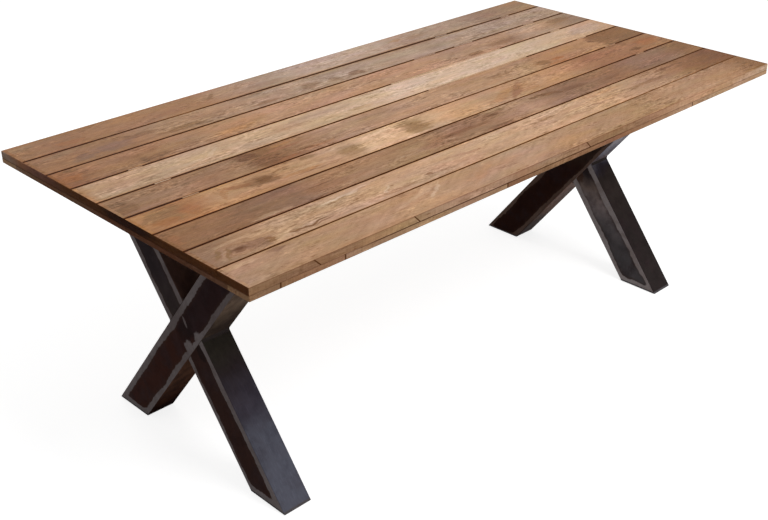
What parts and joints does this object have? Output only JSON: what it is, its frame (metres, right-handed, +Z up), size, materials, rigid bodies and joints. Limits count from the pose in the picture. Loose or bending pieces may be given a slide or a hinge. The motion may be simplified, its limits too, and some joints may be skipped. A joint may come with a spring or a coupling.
{
  "type": "sawbuck table",
  "caption": "Rectangular plank-top dining table with a two-layer wooden edge, carried on X-shaped welded box-section steel leg frames.",
  "frame": {"origin": "on the floor, under the middle of the tabletop", "axes": "+X along the table's length, +Y across it towards the rear, +Z up"},
  "size_m": [2, 1, 0.76],
  "materials": {
    "board_1": "oiled reclaimed hardwood board, satin, fine grain along its length",
    "board_2": "oiled reclaimed hardwood board, satin, fine grain along its length",
    "board_3": "oiled reclaimed hardwood board, satin, fine grain along its length",
    "board_4": "oiled reclaimed hardwood board, satin, fine grain along its length",
    "board_5": "oiled reclaimed hardwood board, satin, fine grain along its length",
    "board_6": "oiled reclaimed hardwood board, satin, fine grain along its length",
    "board_7": "oiled reclaimed hardwood board, satin, fine grain along its length",
    "board_8": "oiled reclaimed hardwood board, satin, fine grain along its length",
    "board_9": "oiled reclaimed hardwood board, satin, fine grain along its length",
    "lipping": "oiled hardwood edge strip, darker than the boards",
    "edging": "oiled hardwood strip, long grain",
    "batten": "planed hardwood batten, unfinished underside",
    "tongue": "plain plywood strip, hidden in the grooves",
    "groove_slip": "thin wooden slip glued flush into a groove, oiled like the boards",
    "frame_steel": "hot-rolled steel with dark mill scale, ground grey beside the welds, waxed",
    "weld_bead": "weld bead, brushed, waxed",
    "fastener_steel": "zinc-plated steel",
    "insert_steel": "zinc-plated steel insert",
    "pad": "thin dense rubber, black"
  },
  "bodies": {
    "root": {"batten_screws": "fastener_steel", "board_1": "board_1", "board_2": "board_2", "board_3": "board_3", "board_4": "board_4", "board_5": "board_5", "board_6": "board_6", "board_7": "board_7", "board_8": "board_8", "board_9": "board_9", "board_splines": "tongue", "bolt_washers": "fastener_steel", "far_crossing_welds": "weld_bead", "far_end_edging": "edging", "far_end_lipping_1": "lipping", "far_end_lipping_2": "lipping", "far_end_lipping_3": "lipping", "far_foot_caps": "frame_steel", "far_frame_batten": "batten", "far_lower_arm": "frame_steel", "far_plate_welds": "weld_bead", "far_through_arm": "frame_steel", "far_top_plate": "frame_steel", "far_upper_arm": "frame_steel", "foot_pads": "pad", "frame_bolts": "fastener_steel", "front_edging_1": "edging", "front_edging_2": "edging", "front_edging_3": "edging", "front_edging_4": "edging", "front_edging_5": "edging", "front_lipping_1": "lipping", "front_lipping_2": "lipping", "front_lipping_3": "lipping", "front_lipping_4": "lipping", "groove_slips": "groove_slip", "middle_batten_1": "batten", "middle_batten_2": "batten", "near_crossing_welds": "weld_bead", "near_end_edging": "edging", "near_end_lipping_1": "lipping", "near_end_lipping_2": "lipping", "near_end_lipping_3": "lipping", "near_foot_caps": "frame_steel", "near_frame_batten": "batten", "near_lower_arm": "frame_steel", "near_plate_welds": "weld_bead", "near_through_arm": "frame_steel", "near_top_plate": "frame_steel", "near_upper_arm": "frame_steel", "rear_edging_1": "edging", "rear_edging_2": "edging", "rear_edging_3": "edging", "rear_lipping_1": "lipping", "rear_lipping_2": "lipping", "rear_lipping_3": "lipping", "threaded_inserts": "insert_steel"}
  },
  "joints": []
}
